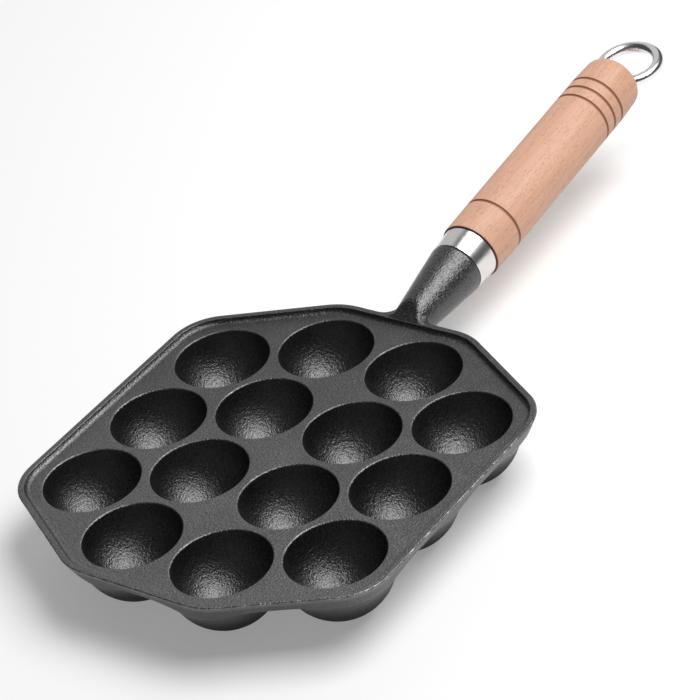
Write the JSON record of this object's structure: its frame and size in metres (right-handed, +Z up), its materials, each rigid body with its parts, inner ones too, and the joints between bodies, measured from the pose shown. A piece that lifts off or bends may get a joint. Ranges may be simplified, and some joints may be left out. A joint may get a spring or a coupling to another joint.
{
  "type": "takoyaki pan",
  "caption": "Cast-iron griddle pan with rows of half-round cups, a raised eight-sided rim, a conical neck and a straight wooden handle ending in a steel hanging ring.",
  "frame": {"origin": "on the table, under the middle of the whole length, in the pan's middle plane", "axes": "+X along the length towards the hanging ring, +Z up out of the cups, +Y to the left of the handle"},
  "size_m": [0.3838, 0.1784, 0.0563],
  "materials": {
    "cast_iron": "seasoned sand-cast grain, satin",
    "ferrule_steel": "polished",
    "beech": "turned light beech, satin lacquer",
    "ring_chrome": "bright plated"
  },
  "bodies": {
    "root": {"pan_casting": "cast_iron", "handle_ferrule": "ferrule_steel", "wooden_grip": "beech", "hanging_eye_rod": "ring_chrome"}
  },
  "joints": []
}
